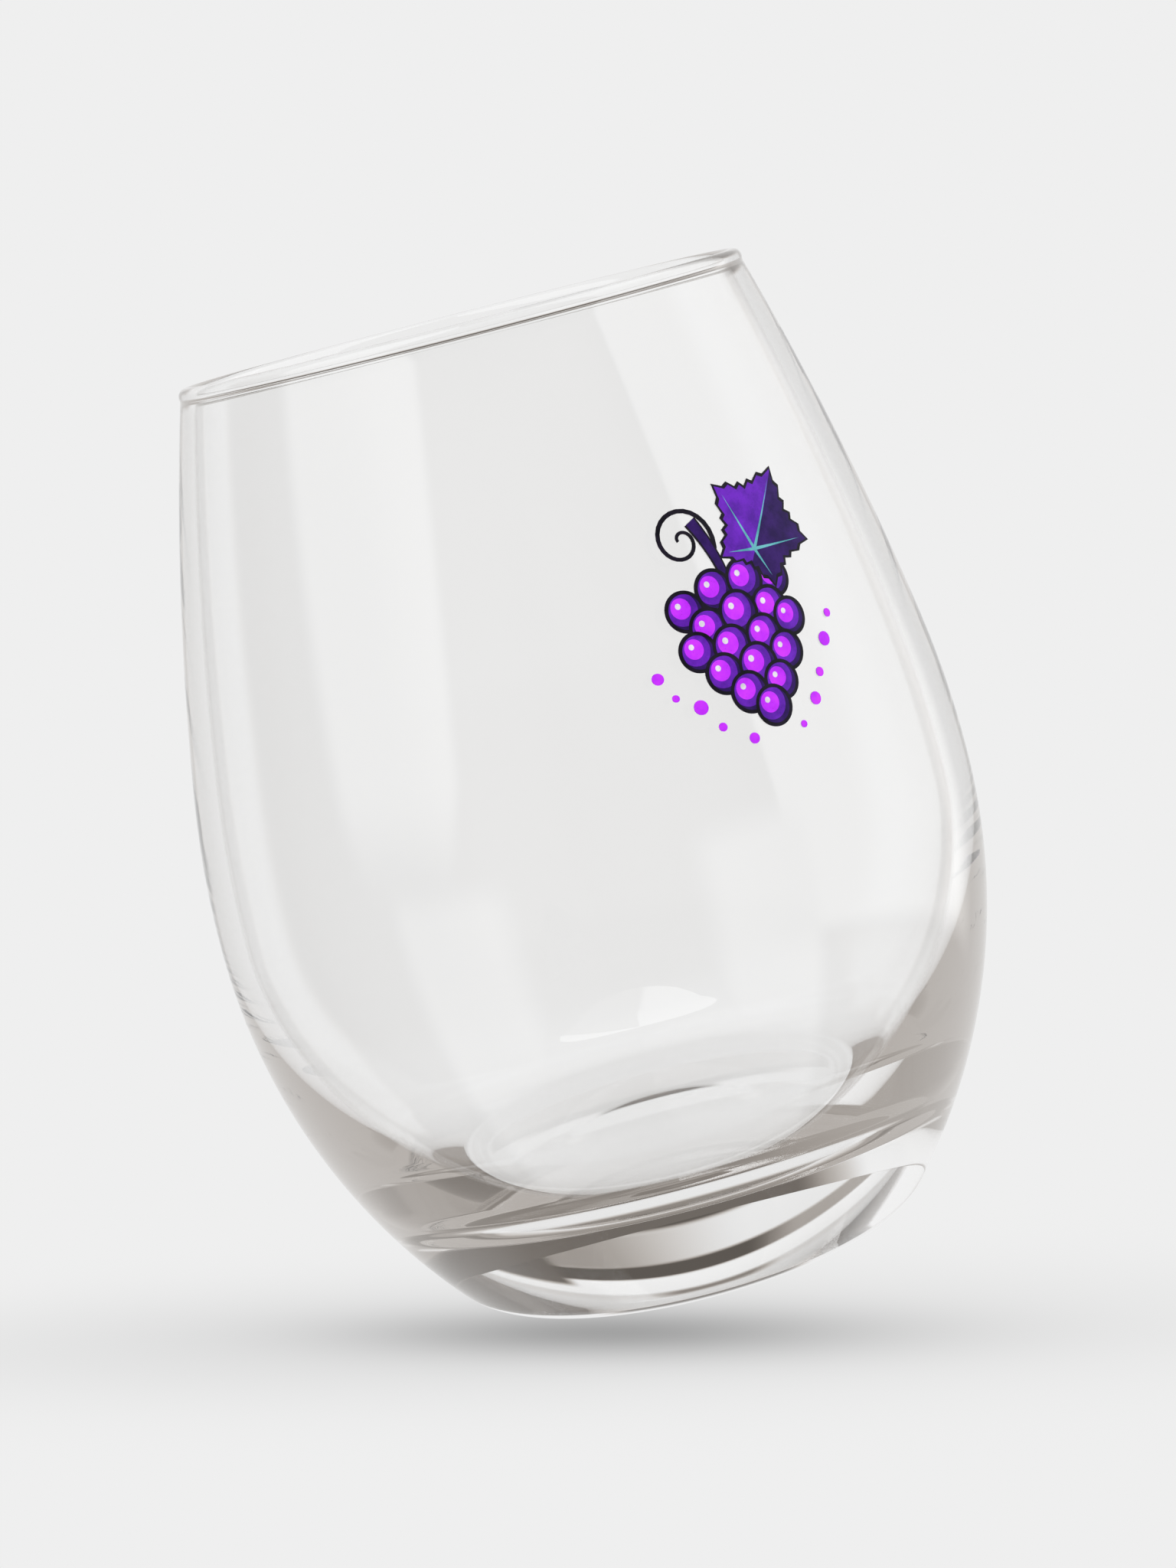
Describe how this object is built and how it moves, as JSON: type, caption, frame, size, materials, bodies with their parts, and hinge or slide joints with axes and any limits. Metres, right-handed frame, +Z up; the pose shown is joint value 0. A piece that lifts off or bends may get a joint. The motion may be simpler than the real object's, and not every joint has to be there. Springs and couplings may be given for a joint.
{
  "type": "stemless wine glass",
  "caption": "Thick-based stemless wine glass with an egg-shaped bowl that narrows to a beaded rim, a shallow hollow under the foot, and a printed bunch of grapes on the front",
  "frame": {"origin": "centre of the foot, on the plane it stands on", "axes": "+Z up along the axis the glass was turned about, -Y towards the middle of the print, +X to the right when looking at the print"},
  "size_m": [0.094, 0.094, 0.1175],
  "materials": {
    "clear_glass": "clear polished soda-lime glass, fire-polished at the rim",
    "white_enamel": "opaque white printed enamel, satin gloss",
    "black_enamel": "black printed enamel, satin gloss",
    "indigo_enamel": "dark indigo printed enamel, satin gloss",
    "violet_enamel": "violet printed enamel, satin gloss",
    "magenta_enamel": "bright magenta-purple printed enamel, satin gloss",
    "teal_enamel": "teal printed enamel, satin gloss",
    "silver_enamel": "pale silver-grey printed enamel, satin gloss"
  },
  "bodies": {
    "root": {"glass_body": "clear_glass", "white_underlay": "white_enamel", "black_ink": "black_enamel", "indigo_ink": "indigo_enamel", "violet_ink": "violet_enamel", "magenta_ink": "magenta_enamel", "teal_ink": "teal_enamel", "silver_ink": "silver_enamel"}
  },
  "joints": []
}
